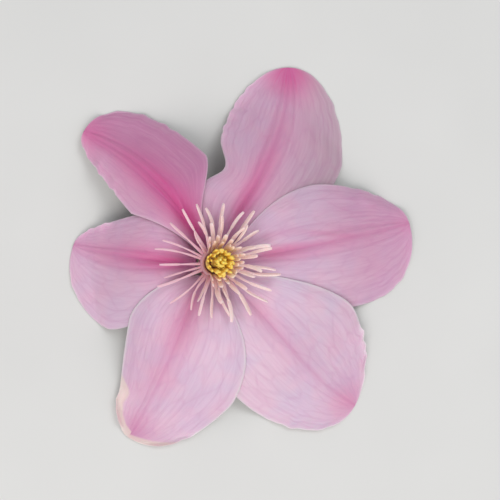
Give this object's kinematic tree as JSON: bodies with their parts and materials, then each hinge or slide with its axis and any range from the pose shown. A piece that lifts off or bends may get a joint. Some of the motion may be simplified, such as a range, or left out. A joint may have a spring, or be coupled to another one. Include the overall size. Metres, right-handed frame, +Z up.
{
  "type": "clematis flower",
  "caption": "Picked large-flowered clematis bloom lying face up, its lilac-pink overlapping tepals round a boss of golden and cream stamens, on a short bent green stalk.",
  "frame": {"origin": "middle of the flower's box in plan, on the surface that it lies on", "axes": "+Z up from the surface, the way the flower faces; +Y along the longest reach of the tepals, toward the tip of the top tepal; +X to the right of the picture's view"},
  "size_m": [0.0984, 0.1084, 0.0245],
  "materials": {
    "stalk": "matte, fine ribs",
    "tepal": "soft satin petal, deeper pink along the midrib",
    "filament": "matte cream with a peach tint",
    "golden_anther": "matte golden yellow",
    "style": "silky yellow-green"
  },
  "bodies": {
    "root": {"stalk": "stalk", "tepal_right": "tepal", "tepal_top": "tepal", "tepal_upper_left": "tepal", "tepal_left": "tepal", "tepal_lower_left": "tepal", "tepal_lower_right": "tepal", "stamens_outer": "filament", "stamens_inner": "golden_anther", "styles": "style"}
  },
  "joints": []
}
